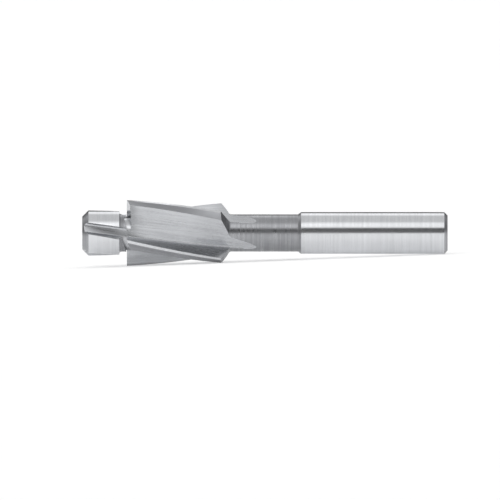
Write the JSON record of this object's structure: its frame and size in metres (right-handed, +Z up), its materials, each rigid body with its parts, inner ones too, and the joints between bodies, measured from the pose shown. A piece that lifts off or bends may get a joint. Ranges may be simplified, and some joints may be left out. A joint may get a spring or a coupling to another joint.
{
  "type": "counterbore cutter",
  "caption": "Straight-shank counterbore cutter with right-hand helical teeth and a solid fluted pilot, lying at rest.",
  "frame": {"origin": "the point on the resting surface under the middle of the cutter's bounding box, as it lies at rest", "axes": "+X runs along the cutter's length, from the pilot to the shank, in the vertical plane that holds the tool's axis; the axis itself dips 2.17 degrees towards the shank's end, because the head is thicker than the shank; +Z is up"},
  "size_m": [0.1094, 0.0196, 0.0197],
  "materials": {
    "tool_steel": "ground"
  },
  "bodies": {
    "root": {"counterbore_cutter": "tool_steel"}
  },
  "joints": []
}
